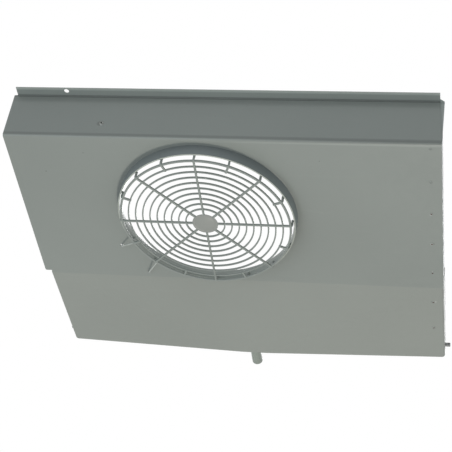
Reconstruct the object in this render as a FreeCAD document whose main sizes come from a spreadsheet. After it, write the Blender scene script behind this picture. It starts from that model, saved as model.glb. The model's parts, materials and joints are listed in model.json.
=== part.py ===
import FreeCAD, Part
import math
import os
import Sketcher

# Bottom tray of a slim ceiling air cooler: a folded fan deck with a pressed fan
# collar and a welded wire guard, and behind it the drain pan with its outlet.
# Millimetres. +X right, +Y to the rear (drain side), +Z up into the cooler.
# The origin is the centre of the fan throat.

os.makedirs("parts", exist_ok=True)
doc = FreeCAD.newDocument("CoolerTray")
Vector = FreeCAD.Vector

# alias, number: all lengths in mm
SHEET_CELLS = [
    # folded sheet
    ("SheetThick", 1.2),
    ("BendInside", 2.5),
    ("SeatGap", 0.1),
    # fan deck: flat sheet beyond the pressed collar on each side
    ("DeckLeftMargin", 177.3),
    ("DeckRightMargin", 250.3),
    ("DeckFrontMargin", 2.8),
    ("DeckRearMargin", 7.3),
    ("DeckAboveThroat", 10.0),
    ("DeckCornerRadius", 6.0),
    ("ApronRise", 95.0),
    ("ApronRun", 11.0),
    ("ApronTrim", 8.0),
    ("FlangeDepth", 20.0),
    ("FlangeTrim", 7.0),
    ("DeckUpstand", 20.0),
    ("FixingHoleRadius", 4.5),
    ("FixingHoleFromEdge", 103.0),
    ("FixingHoleIntoFlange", 12.5),
    # pressed fan collar
    ("ThroatRadius", 161.5),
    ("ThroatLand", 8.0),
    ("BellRise", 8.3),
    ("BellFlare", 2.2),
    ("CollarFlare", 7.8),
    ("CollarMargin", 10.4),
    # wire guard
    ("GuardBelowRim", 8.3),
    ("HubToRing", 12.2),
    ("HookInset", 0.8),
    ("OuterRingInset", 3.0),
    ("RingWireRadius", 1.25),
    ("SpokeWireRadius", 1.5),
    ("WireGap", 0.05),
    ("HubRadius", 24.0),
    ("HubThick", 2.0),
    ("StubOverlap", 2.0),
    ("LegHoleRadius", 3.0),
    ("LegHook", 5.0),
    ("LegDrop", 3.0),
    ("LegAboveRing", 3.5),
    ("LegBesideSpoke", 3.8),
    ("RearLegReach", 57.0),
    ("SideLegReach", 41.2),
    # side rails on the deck
    ("RailFoot", 40.0),
    ("RailRise", 28.0),
    ("TabWidth", 26.0),
    ("TabBelowTop", 2.0),
    ("TabChamfer", 7.5),
    ("RailFromFold", 8.0),
    ("RailFromRear", 6.0),
    # drain pan
    ("PanLeftStep", 10.0),
    ("PanDepth", 237.8),
    ("PanWallRise", 52.0),
    ("PanFrontWallRise", 20.0),
    ("PanFrontWallEnd", 20.0),
    ("PanCornerRise", 17.5),
    ("PanFall", 13.5),
    ("PanSumpWidth", 40.0),
    ("PanCreaseInset", 12.0),
    ("PanCornerRadius", 6.0),
    ("SeamGap", 0.2),
    ("PanRailFront", 25.0),
    ("PanRailRear", 6.0),
    ("PanRailBelowTop", 4.0),
    # drain outlet
    ("OutletRadius", 10.65),
    ("OutletBore", 8.65),
    ("OutletReach", 40.0),
    ("OutletInside", 3.0),
    ("OutletAboveFloor", 0.3),
    ("OutletSwell", 0.25),
    # hinge pins
    ("PinRadius", 4.0),
    ("PinReach", 10.0),
    ("PinFromRear", 17.0),
    ("PinRise", 38.0),
    ("PinHeadRadius", 8.0),
    ("PinHeadThick", 3.0),
    ("PinClear", 0.1),
    ("PinShoulder", 0.3),
    ("ShoulderProud", 0.3),
    # rivets and screw
    ("RivetRadius", 1.6),
    ("RivetHeadRadius", 3.25),
    ("RivetHeadRise", 1.2),
    ("RivetTail", 2.0),
    ("HeadGap", 0.05),
    ("RivetClear", 0.1),
    ("RivetInset", 20.0),
    ("RivetFirst", 12.5),
    ("RivetLast", 39.0),
    ("PanRivetFirst", 49.0),
    ("PanRivetLast", 104.8),
    ("SeamRivetRise", 12.0),
    ("SeamRivetInset", 60.0),
    ("ScrewRadius", 2.0),
    ("ScrewLength", 12.0),
    ("ScrewHeadRadius", 4.5),
    ("ScrewHeadRise", 2.6),
    ("ScrewFromLeft", 180.0),
    ("ScrewRise", 31.0),
    ("ScrewClear", 0.25),
]
DECK_RIVETS = 5
PAN_RIVETS = 2
SEAM_RIVETS = 4
RINGS = 10
RING_SIDES = 32             # flats round each ring of the guard
RIVET_SIDES = 12            # and round a rivet, a screw and their holes
SPOKES = 8
# degrees round from +X: the wire that each leg starts beside, and its hole in the deck
REAR_LEG = {"spoke": 135.0, "hole": 128.9}
SIDE_LEG = {"spoke": 157.5, "hole": 150.9}
TINY = 1e-6

sizes = doc.addObject("Spreadsheet::Sheet", "Sizes")
for row, (alias, number) in enumerate(SHEET_CELLS, 1):
    sizes.set("A%d" % row, str(number))
    sizes.setAlias("A%d" % row, alias)
doc.recompute()


class Size:
    """A length or angle: its number now, and the formula that the document keeps."""

    def __init__(self, number, text):
        self.number = number
        self.text = text

    def __add__(self, other):
        other = size(other)
        return Size(self.number + other.number, "(%s + %s)" % (self.text, other.text))

    def __sub__(self, other):
        other = size(other)
        return Size(self.number - other.number, "(%s - %s)" % (self.text, other.text))

    def __mul__(self, other):
        other = size(other)
        return Size(self.number * other.number, "(%s * %s)" % (self.text, other.text))

    def __truediv__(self, other):
        other = size(other)
        return Size(self.number / other.number, "(%s / %s)" % (self.text, other.text))

    def __radd__(self, other):
        return size(other) + self

    def __rsub__(self, other):
        return size(other) - self

    def __rmul__(self, other):
        return size(other) * self

    def __neg__(self):
        return Size(-self.number, "(-1 * %s)" % self.text)


def size(value):
    return value if isinstance(value, Size) else Size(float(value), repr(float(value)))


def root(value):
    return Size(math.sqrt(value.number), "sqrt(%s)" % value.text)


def arc_tangent(ratio):
    return Size(math.degrees(math.atan(ratio.number)), "atan(%s)" % ratio.text)


def arc_cosine(ratio):
    return Size(math.degrees(math.acos(ratio.number)), "acos(%s)" % ratio.text)


def heading(dx, dy):
    """Angle of the direction (dx, dy) round from +X, in degrees."""
    angle = math.degrees(math.atan2(dy.number, dx.number))
    return Size(angle, "atan2(%s; %s)" % (dy.text, dx.text))


S = {alias: Size(float(sizes.get(alias)), "Sizes." + alias) for alias, _ in SHEET_CELLS}
THICK = S["SheetThick"]

# levels and lines that several pieces share
DECK_FACE = S["DeckAboveThroat"]                       # lower face of the deck
DECK_TOP = DECK_FACE + THICK
APRON_LENGTH = root(S["ApronRun"] * S["ApronRun"] + S["ApronRise"] * S["ApronRise"])
THROAT_FOOT = size(0) - S["ThroatLand"] / 2
RIM_FACE = THROAT_FOOT - S["BellRise"]                 # lowest face of the collar
RING_LEVEL = RIM_FACE - S["GuardBelowRim"]
SPOKE_LEVEL = RING_LEVEL - S["RingWireRadius"] - S["SpokeWireRadius"] - S["WireGap"]
RIM_INSIDE = S["ThroatRadius"] + S["BellFlare"]
COLLAR_BASE = S["ThroatRadius"] + S["CollarFlare"]
COLLAR_EDGE = COLLAR_BASE + S["CollarMargin"]
DECK_LEFT = COLLAR_EDGE + S["DeckLeftMargin"]
DECK_RIGHT = COLLAR_EDGE + S["DeckRightMargin"]
DECK_FRONT = COLLAR_EDGE + S["DeckFrontMargin"]
DECK_REAR = COLLAR_EDGE + S["DeckRearMargin"]
HOOK_RADIUS = S["ThroatRadius"] - S["HookInset"]
HOOK_GRIP = S["SpokeWireRadius"] + S["SeatGap"] - S["HookInset"]
HOOK_TOP = THROAT_FOOT - S["BellRise"] * HOOK_GRIP / S["BellFlare"]   # the wire meets the bell
OUTER_RING = HOOK_RADIUS - S["OuterRingInset"]
FIRST_RING = S["HubRadius"] + S["HubToRing"]
RING_PITCH = (OUTER_RING - FIRST_RING) / (RINGS - 1)
PAN_LEFT = DECK_LEFT - S["PanLeftStep"]
PAN_FRONT = DECK_REAR + S["SeamGap"]
PAN_REAR = PAN_FRONT + S["PanDepth"]
PAN_TOP = DECK_FACE + S["PanWallRise"]
PAN_CENTRE = (DECK_RIGHT - PAN_LEFT) / 2
PAN_HALF = (DECK_RIGHT + PAN_LEFT) / 2
PIN_Y = PAN_REAR - S["PinFromRear"]
PIN_Z = DECK_FACE + S["PinRise"]
PIN_BODY = S["PinRadius"] + S["PinShoulder"]
OUTLET_BODY = S["OutletRadius"] + S["OutletSwell"]
OUTLET_Z = (DECK_FACE + S["PanCornerRise"] - S["PanFall"] + THICK
            + OUTLET_BODY + S["OutletAboveFloor"])


def apron_inner_y(height):
    """Y of the apron's inner face at a height above the deck's lower face."""
    shift = THICK * (APRON_LENGTH - S["ApronRun"]) / S["ApronRise"]
    return shift - DECK_FRONT - (height - THICK) * S["ApronRun"] / S["ApronRise"]


# the pan floor: one facet in front, and one to each side that falls to the outlet
FRONT_SLOPE = (S["PanCornerRise"] - S["PanFall"]) / S["PanDepth"]
CROSS_SLOPE = S["PanFall"] / (PAN_HALF - S["PanSumpWidth"] / 2)
SIDE_SLOPE = (S["PanCornerRise"] - CROSS_SLOPE * S["PanCreaseInset"]) / S["PanDepth"]
FACET_LEAN = root(CROSS_SLOPE * CROSS_SLOPE + SIDE_SLOPE * SIDE_SLOPE + 1)


def facet_z(inset, y):
    """Height of a side facet's lower face, inset from the pan's side, at a depth y."""
    return DECK_FACE + (y - PAN_FRONT) * SIDE_SLOPE - (inset - S["PanCreaseInset"]) * CROSS_SLOPE


# ---------------------------------------------------------------- sketch helpers

def bind(thing, name, value):
    thing.setExpression(name, value.text)


def new_sketch(body, name, role, offset=None):
    """A sketch on one of the body's own origin planes, moved along the plane's normal."""
    sketch = body.newObject("Sketcher::SketchObject", name)
    plane = [item for item in body.Origin.OriginFeatures if item.Role == role][0]
    sketch.AttachmentSupport = [(plane, "")]
    sketch.MapMode = "FlatFace"
    if offset is not None:
        sketch.AttachmentOffset = FreeCAD.Placement(Vector(0, 0, offset.number), FreeCAD.Rotation())
        bind(sketch, "AttachmentOffset.Base.z", offset)
    return sketch


def place(thing, prefix, base, axis, angle):
    """Set a placement and tie its base, axis and angle to the sizes."""
    base = [size(value) for value in base]
    axis = [size(value) for value in axis]
    angle = size(angle)
    turn = FreeCAD.Rotation(Vector(*[value.number for value in axis]), angle.number)
    placement = FreeCAD.Placement(Vector(*[value.number for value in base]), turn)
    setattr(thing, prefix, placement)
    for letter, value in zip("xyz", base):
        bind(thing, "%s.Base.%s" % (prefix, letter), value)
    if abs(angle.number) > TINY:
        for letter, value in zip("xyz", axis):
            bind(thing, "%s.Rotation.Axis.%s" % (prefix, letter), value)
        bind(thing, prefix + ".Rotation.Angle", angle)


def limit(sketch, constraint, value=None):
    index = sketch.addConstraint(constraint)
    if value is not None:
        bind(sketch, "Constraints[%d]" % index, value)


def fix_point(sketch, curve, end, x, y):
    limit(sketch, Sketcher.Constraint("DistanceX", -1, 1, curve, end, x.number), x)
    limit(sketch, Sketcher.Constraint("DistanceY", -1, 1, curve, end, y.number), y)


def closed_outline(sketch, points):
    """One more loop of straight edges through the points and back to the first."""
    points = [(size(x), size(y)) for x, y in points]
    corners = [Vector(x.number, y.number, 0) for x, y in points]
    count = len(points)
    first = sketch.GeometryCount
    for i in range(count):
        sketch.addGeometry(Part.LineSegment(corners[i], corners[(i + 1) % count]), False)
    for i in range(count):
        following = first + (i + 1) % count
        sketch.addConstraint(Sketcher.Constraint("Coincident", first + i, 2, following, 1))
    for i, (x, y) in enumerate(points):
        fix_point(sketch, first + i, 1, x, y)


def circle(sketch, x, y, radius):
    x, y = size(x), size(y)
    centre = Vector(x.number, y.number, 0)
    curve = sketch.addGeometry(Part.Circle(centre, Vector(0, 0, 1), radius.number), False)
    fix_point(sketch, curve, 3, x, y)
    limit(sketch, Sketcher.Constraint("Radius", curve, radius.number), radius)


def faceted_hole(sketch, x, y, corner):
    """Twelve-sided outline for a rivet, its corners on a circle."""
    turns = [2 * math.pi * k / RIVET_SIDES for k in range(RIVET_SIDES)]
    closed_outline(sketch, [(x + corner * math.cos(a), y + corner * math.sin(a))
                            for a in turns])


def sheet_section(sketch, points, side):
    """Section of a folded sheet: its outer face runs through the points, and its
    inner face lies one thickness to the left (side 1) or right (side -1) of it."""
    points = [(size(x), size(y)) for x, y in points]
    outer = [Vector(x.number, y.number, 0) for x, y in points]
    headings = [(b - a).normalize() for a, b in zip(outer, outer[1:])]
    normals = [Vector(-h.y, h.x, 0) * side for h in headings]
    inner = []
    for i, corner in enumerate(outer):
        before = normals[max(i - 1, 0)]
        after = normals[min(i, len(normals) - 1)]
        inner.append(corner + (before + after) * (THICK.number / (1 + before.dot(after))))
    last = len(outer) - 1
    loop = outer + inner[::-1]
    total = len(loop)
    for i in range(total):
        sketch.addGeometry(Part.LineSegment(loop[i], loop[(i + 1) % total]), False)
    for i in range(total):
        sketch.addConstraint(Sketcher.Constraint("Coincident", i, 2, (i + 1) % total, 1))
    for i, (x, y) in enumerate(points):
        fix_point(sketch, i, 1, x, y)
    for i in range(last):
        facing = total - 2 - i
        sketch.addConstraint(Sketcher.Constraint("Parallel", i, facing))
        limit(sketch, Sketcher.Constraint("Distance", i, 1, facing, THICK.number), THICK)
    sketch.addConstraint(Sketcher.Constraint("Perpendicular", last - 1, last))
    sketch.addConstraint(Sketcher.Constraint("Perpendicular", 0, total - 1))


# --------------------------------------------------------------- feature helpers

def new_body(label):
    body = doc.addObject("PartDesign::Body", label)
    body.Label = label
    return body


def pad(body, sketch, name, length):
    feature = body.newObject("PartDesign::Pad", name)
    feature.Profile = sketch
    feature.Length = length.number
    bind(feature, "Length", length)
    return feature


def cut_through(body, sketch, name, reach):
    """A pocket that runs the same reach to both sides of its sketch."""
    doc.recompute()
    before = body.Tip.Shape
    feature = body.newObject("PartDesign::Pocket", name)
    feature.Profile = sketch
    feature.SideType = "Symmetric"
    feature.Length = reach.number
    bind(feature, "Length", reach)
    doc.recompute()
    same_faces = len(feature.Shape.Faces) == len(before.Faces)
    if same_faces and feature.Shape.Volume > before.Volume - TINY:
        raise RuntimeError("%s cuts nothing" % name)
    return feature


def revolve(body, sketch, name, axis_role):
    feature = body.newObject("PartDesign::Revolution", name)
    feature.Profile = sketch
    axis = [item for item in body.Origin.OriginFeatures if item.Role == axis_role][0]
    feature.ReferenceAxis = (axis, [""])
    feature.Angle = 360
    feature.Refine = True
    return feature


def round_edges(body, name, wanted, radius):
    """Fillet every edge of the body's tip for which wanted(edge) holds."""
    doc.recompute()
    base = body.Tip
    names = ["Edge%d" % (i + 1) for i, edge in enumerate(base.Shape.Edges) if wanted(edge)]
    if not names:
        raise RuntimeError("%s finds no edge" % name)
    feature = body.newObject("PartDesign::Fillet", name)
    feature.Base = (base, names)
    feature.Radius = radius.number
    bind(feature, "Radius", radius)
    doc.recompute()
    return feature


def facet_tilt(slope_x, slope_y):
    """Axis and angle that tip a level plane to the slopes along X and Y."""
    steep = root(slope_x * slope_x + slope_y * slope_y)
    return (slope_y / steep, -slope_x / steep, 0), arc_tangent(steep)


def plane_cut(body, name, point, slopes, upward=False):
    """Cut away all that lies under (or over) a tilted plane through a point."""
    sketch = body.newObject("Sketcher::SketchObject", name)
    plane = [item for item in body.Origin.OriginFeatures if item.Role == "XY_Plane"][0]
    sketch.AttachmentSupport = [(plane, "")]
    sketch.MapMode = "FlatFace"
    place(sketch, "AttachmentOffset", point, *facet_tilt(*slopes))
    reach = PAN_HALF * 3
    closed_outline(sketch, [(-reach, -reach), (reach, -reach), (reach, reach), (-reach, reach)])
    feature = body.newObject("PartDesign::Pocket", name + "_cut")
    feature.Profile = sketch
    feature.Length = PAN_HALF.number
    bind(feature, "Length", PAN_HALF)
    feature.Reversed = upward
    doc.recompute()
    return feature


def upright(*places):
    """True for upright edges at one of the (x, y) places."""
    def wanted(edge):
        ends = [vertex.Point for vertex in edge.Vertexes]
        return len(ends) == 2 and any(
            all(abs(end.x - x.number) < 0.01 and abs(end.y - y.number) < 0.01 for end in ends)
            for x, y in places)
    return wanted


def along_x(*lines):
    """True for straight edges along X through one of the (y, z) points."""
    def wanted(edge):
        ends = [vertex.Point for vertex in edge.Vertexes]
        if len(ends) != 2 or abs(ends[0].x - ends[1].x) < 1:
            return False
        return any(all(abs(end.y - y.number) < 0.01 and abs(end.z - z.number) < 0.01
                       for end in ends) for y, z in lines)
    return wanted


def along_y(*lines):
    """True for straight edges along Y through one of the (x, z) points."""
    def wanted(edge):
        ends = [vertex.Point for vertex in edge.Vertexes]
        if len(ends) != 2 or abs(ends[0].y - ends[1].y) < 1:
            return False
        return any(all(abs(end.x - x.number) < 0.01 and abs(end.z - z.number) < 0.01
                       for end in ends) for x, z in lines)
    return wanted


# ------------------------------------------------------------------- fan deck

def rivet_line(count, first, last):
    """Evenly spaced places from the first to the last."""
    return [first + (last - first) / (count - 1) * i for i in range(count)]


deck_rivet_ys = rivet_line(DECK_RIVETS, S["RivetFirst"] - DECK_FRONT, DECK_REAR - S["RivetLast"])
pan_rivet_ys = rivet_line(PAN_RIVETS, PAN_FRONT + S["PanRivetFirst"], PAN_REAR - S["PanRivetLast"])
seam_rivet_xs = rivet_line(SEAM_RIVETS, S["SeamRivetInset"] - PAN_LEFT,
                           DECK_RIGHT - S["SeamRivetInset"])
rivet_x = DECK_RIGHT - S["RivetInset"]
rivet_hole = S["RivetRadius"] + S["RivetClear"]
seam_rivet_z = DECK_FACE + S["SeamRivetRise"]
screw_x = S["ScrewFromLeft"] - DECK_LEFT
fixing_x = S["FixingHoleFromEdge"] - DECK_LEFT
fixing_y = size(0) - DECK_FRONT - S["ApronRun"] - S["FixingHoleIntoFlange"]


def leg_hole(leg, reach):
    """Place of a leg's hole in the deck, at a reach outside the collar's base."""
    angle = math.radians(leg["hole"])
    radius = COLLAR_BASE + reach
    return radius * math.cos(angle), radius * math.sin(angle)


rear_leg_hole = leg_hole(REAR_LEG, S["RearLegReach"])
side_leg_hole = leg_hole(SIDE_LEG, S["SideLegReach"])


def make_fan_deck():
    body = new_body("fan_deck")
    fold = (-DECK_FRONT, DECK_FACE)
    apron_top = (fold[0] - S["ApronRun"], DECK_FACE + S["ApronRise"])
    flange_edge = (apron_top[0] - S["FlangeDepth"], apron_top[1])
    rear = (DECK_REAR, DECK_FACE)
    upstand = (DECK_REAR, DECK_FACE + S["DeckUpstand"])
    section = new_sketch(body, "deck_section", "YZ_Plane", -DECK_LEFT)
    sheet_section(section, [flange_edge, apron_top, fold, rear, upstand], 1)
    width = DECK_LEFT + DECK_RIGHT
    pad(body, section, "deck_sheet", width)
    inner_fold = (apron_inner_y(THICK), DECK_TOP)
    inner_top = (inner_fold[0] - S["ApronRun"], apron_top[1] + THICK)
    inner_rear = (DECK_REAR - THICK, DECK_TOP)
    round_edges(body, "inside_bends", along_x(apron_top, inner_fold, inner_rear), S["BendInside"])
    outside = S["BendInside"] + THICK
    round_edges(body, "outside_bends", along_x(fold, inner_top, rear), outside)

    # the flange stops short of both ends, and the apron's right end is cut on the skew
    top_z = apron_top[1]
    trim = new_sketch(body, "flange_trim", "XY_Plane", top_z)
    front = flange_edge[0] - 1
    back = apron_top[0]
    for edge, inner in ((-DECK_LEFT, S["FlangeTrim"] - DECK_LEFT),
                        (DECK_RIGHT, DECK_RIGHT - S["FlangeTrim"])):
        closed_outline(trim, [(edge, front), (inner, front), (inner, back), (edge, back)])
    cut_through(body, trim, "flange_ends", outside * 2)
    skew = new_sketch(body, "apron_skew", "XZ_Plane", DECK_FRONT)
    closed_outline(skew, [(DECK_RIGHT, DECK_FACE + outside),
                          (DECK_RIGHT + 1, DECK_FACE + outside),
                          (DECK_RIGHT + 1, top_z + outside),
                          (DECK_RIGHT - S["ApronTrim"], top_z + outside)])
    cut_through(body, skew, "apron_end", (S["ApronRun"] + outside) * 4)

    # pressed collar in place of the plain sheet round the fan
    opening = new_sketch(body, "collar_opening", "XY_Plane", DECK_FACE)
    circle(opening, 0, 0, COLLAR_EDGE)
    cut_through(body, opening, "collar_cut", THICK * 4)
    collar = new_sketch(body, "collar_section", "XZ_Plane")
    throat = S["ThroatRadius"]
    head = THROAT_FOOT + S["ThroatLand"]
    bow = 1 - math.sqrt(0.5)                  # how far an arc's middle is off its corner
    sheet_section(collar, [(COLLAR_EDGE, DECK_TOP), (COLLAR_BASE, DECK_TOP),
                           (throat + S["CollarFlare"] * bow, DECK_TOP - (DECK_TOP - head) * bow),
                           (throat, head), (throat, THROAT_FOOT), (RIM_INSIDE, RIM_FACE)], 1)
    revolve(body, collar, "collar", "Z_Axis")

    # holes: rivets, guard legs and the front fixing
    holes = new_sketch(body, "deck_holes", "XY_Plane", DECK_FACE)
    for y in deck_rivet_ys:
        faceted_hole(holes, rivet_x, y, rivet_hole)
    for x, y in (rear_leg_hole, side_leg_hole):
        circle(holes, x, y, S["LegHoleRadius"])
    cut_through(body, holes, "deck_hole_cuts", THICK * 4)
    fixing = new_sketch(body, "fixing_hole", "XY_Plane", top_z)
    circle(fixing, fixing_x, fixing_y, S["FixingHoleRadius"])
    cut_through(body, fixing, "fixing_hole_cut", THICK * 4)
    screw = new_sketch(body, "screw_hole", "XZ_Plane", DECK_FRONT)
    faceted_hole(screw, screw_x, DECK_FACE + S["ScrewRise"],
                 S["ScrewRadius"] + S["ScrewClear"])
    cut_through(body, screw, "screw_hole_cut", (S["ApronRun"] + THICK) * 2)
    seam = new_sketch(body, "seam_holes", "XZ_Plane", -DECK_REAR)
    for x in seam_rivet_xs:
        faceted_hole(seam, x, seam_rivet_z, rivet_hole)
    cut_through(body, seam, "seam_hole_cuts", THICK * 4)

    # the free rear left corner is rounded in plan
    corner = new_sketch(body, "corner_round", "XY_Plane", DECK_FACE)
    rounded_off(corner, -DECK_LEFT, DECK_REAR, S["DeckCornerRadius"])
    cut_through(body, corner, "corner_round_cut", (S["DeckUpstand"] + outside) * 2)
    return body


def rounded_off(sketch, x, y, radius):
    """What a rounded left rear corner at (x, y) leaves over, with a little to spare."""
    spare = 1
    left, right, low, high = x - spare, x + radius, y - radius, y + spare
    points = [(x, low), (left, low), (left, high), (right, high), (right, y)]
    corners = [Vector(px.number, py.number, 0) for px, py in points]
    for a, b in zip(corners, corners[1:]):
        sketch.addGeometry(Part.LineSegment(a, b), False)
    centre = Vector(right.number, low.number, 0)
    round_part = Part.Circle(centre, Vector(0, 0, 1), radius.number)
    arc = sketch.addGeometry(Part.ArcOfCircle(round_part, math.pi / 2, math.pi), False)
    for i in range(arc - 1):
        sketch.addConstraint(Sketcher.Constraint("Coincident", i, 2, i + 1, 1))
    sketch.addConstraint(Sketcher.Constraint("Coincident", arc - 1, 2, arc, 1))
    sketch.addConstraint(Sketcher.Constraint("Coincident", arc, 2, 0, 1))
    for i, (px, py) in enumerate(points[:4]):
        fix_point(sketch, i, 1, px, py)
    fix_point(sketch, arc, 3, right, low)
    sketch.addConstraint(Sketcher.Constraint("Vertical", arc - 1))


# ------------------------------------------------------------------ side rails

def make_side_rail(label, side):
    """Angle on the deck's side edge, with an upright tab behind the apron's end."""
    body = new_body(label)
    edge = DECK_RIGHT if side > 0 else -DECK_LEFT
    bottom = DECK_TOP + S["SeatGap"]
    front = S["RailFromFold"] - DECK_FRONT
    rear = DECK_REAR - S["RailFromRear"]
    top = DECK_FACE + S["RailRise"]
    tab_bottom = bottom + S["BendInside"] * 2 + THICK
    tab_top = DECK_FACE + S["ApronRise"] - S["TabBelowTop"]
    lean = APRON_LENGTH / S["ApronRise"]

    def tab_y(z):
        return apron_inner_y(z - DECK_FACE) + S["SeatGap"] * lean

    def inner_x(depth):
        """Lowest X of a strip that reaches the given depth in from the edge."""
        return edge - depth if side > 0 else edge

    foot = new_sketch(body, "foot_outline", "XY_Plane", bottom)
    far = edge - S["RailFoot"] * side
    closed_outline(foot, [(edge, front), (edge, rear), (far, rear), (far, front)])
    pad(body, foot, "foot", THICK)
    wall = new_sketch(body, "wall_outline", "YZ_Plane", inner_x(THICK))
    closed_outline(wall, [(front, bottom), (rear, bottom), (rear, top),
                          (tab_y(top) + THICK / 2, top),
                          (tab_y(tab_bottom) + THICK / 2, tab_bottom), (front, tab_bottom)])
    pad(body, wall, "wall", THICK)
    tab = new_sketch(body, "tab_section", "YZ_Plane", inner_x(S["TabWidth"]))
    deep = THICK * lean
    closed_outline(tab, [(tab_y(tab_bottom), tab_bottom), (tab_y(tab_bottom) + deep, tab_bottom),
                         (tab_y(tab_top) + deep, tab_top), (tab_y(tab_top), tab_top)])
    pad(body, tab, "tab", S["TabWidth"])
    inside_x = edge - THICK * side
    round_edges(body, "inside_bend", along_y((inside_x, bottom + THICK)), S["BendInside"])
    round_edges(body, "outside_bend", along_y((edge, bottom)), S["BendInside"] + THICK)
    corner = new_sketch(body, "tab_corner", "XZ_Plane", DECK_FRONT)
    spare = edge + side
    low, inner = tab_top - S["TabChamfer"], edge - S["TabChamfer"] * side
    closed_outline(corner, [(edge, low), (spare, low), (spare, tab_top + 1),
                            (inner, tab_top + 1), (inner, tab_top)])
    cut_through(body, corner, "tab_corner_cut", (S["ApronRun"] + S["BendInside"]) * 4)
    if side > 0:
        holes = new_sketch(body, "foot_holes", "XY_Plane", bottom)
        for y in deck_rivet_ys:
            faceted_hole(holes, rivet_x, y, rivet_hole)
        cut_through(body, holes, "foot_hole_cuts", THICK * 4)
    return body


# ------------------------------------------------------------------- drain pan

PAN_SIDES = (-PAN_LEFT, DECK_RIGHT)


def facet_point(side, y, rise):
    """A point over a side facet, at the pan's side wall, raised square to the facet."""
    x = PAN_SIDES[1] if side > 0 else PAN_SIDES[0]
    return x, y, facet_z(size(0), y) + rise * FACET_LEAN


def make_drain_pan():
    body = new_body("drain_pan")
    plan = new_sketch(body, "plan", "XY_Plane", DECK_FACE)
    left, right = PAN_SIDES
    rear = PAN_REAR
    closed_outline(plan, [(left, PAN_FRONT), (right, PAN_FRONT), (right, rear), (left, rear)])
    pad(body, plan, "block", S["PanWallRise"])
    level = size(0)
    plane_cut(body, "front_facet", (left, PAN_FRONT, DECK_FACE), (level, FRONT_SLOPE))
    plane_cut(body, "left_facet", facet_point(-1, PAN_FRONT, level), (-CROSS_SLOPE, SIDE_SLOPE))
    plane_cut(body, "right_facet", facet_point(1, PAN_FRONT, level), (CROSS_SLOPE, SIDE_SLOPE))
    outside = S["BendInside"] + THICK
    corners = upright((left, rear), (right, rear), (left, PAN_FRONT), (right, PAN_FRONT))
    round_edges(body, "corners", corners, S["PanCornerRadius"])

    def floor_rim(edge):
        """Edges where the floor meets a wall."""
        ends = [vertex.Point for vertex in edge.Vertexes]
        if len(ends) != 2 or any(end.z > PAN_TOP.number - 1 for end in ends):
            return False
        box = edge.BoundBox
        slack = S["PanCornerRadius"].number + 0.1
        return (box.YMin > rear.number - slack or box.YMax < PAN_FRONT.number + slack
                or box.XMin > right.number - slack or box.XMax < left.number + slack)

    round_edges(body, "floor_bends", floor_rim, outside)
    base = body.Tip
    top = ["Face%d" % (i + 1) for i, face in enumerate(base.Shape.Faces)
           if face.BoundBox.ZMin > PAN_TOP.number - 0.01]
    shell = body.newObject("PartDesign::Thickness", "shell")
    shell.Base = (base, top)
    shell.Value = THICK.number
    bind(shell, "Value", THICK)
    shell.Reversed = True
    shell.Join = "Intersection"
    doc.recompute()
    holes = new_sketch(body, "floor_holes", "XY_Plane", DECK_FACE)
    for y in pan_rivet_ys:
        faceted_hole(holes, rivet_x, y, rivet_hole + S["RivetClear"])
    cut_through(body, holes, "floor_hole_cuts", S["PanWallRise"])
    # the front wall is low between its ends, no higher than the deck's upstand
    gap = new_sketch(body, "front_wall_gap", "XZ_Plane", -PAN_FRONT)
    ends = (left + S["PanFrontWallEnd"], right - S["PanFrontWallEnd"])
    heights = (DECK_FACE + S["PanFrontWallRise"], PAN_TOP + THICK)
    closed_outline(gap, [(ends[0], heights[0]), (ends[1], heights[0]),
                         (ends[1], heights[1]), (ends[0], heights[1])])
    cut_through(body, gap, "front_wall_gap_cut", THICK * 4)
    seam = new_sketch(body, "seam_holes", "XZ_Plane", -PAN_FRONT)
    for x in seam_rivet_xs:
        faceted_hole(seam, x, seam_rivet_z, rivet_hole)
    cut_through(body, seam, "seam_hole_cuts", THICK * 4)
    outlet = new_sketch(body, "outlet_hole", "XZ_Plane", -rear)
    circle(outlet, PAN_CENTRE, OUTLET_Z, OUTLET_BODY + S["SeatGap"])
    cut_through(body, outlet, "outlet_hole_cut", outside * 2)
    pins = new_sketch(body, "pin_holes", "YZ_Plane", right)
    circle(pins, PIN_Y, PIN_Z, PIN_BODY + S["PinClear"])
    cut_through(body, pins, "pin_hole_cuts", PAN_HALF * 6)
    return body


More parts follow.
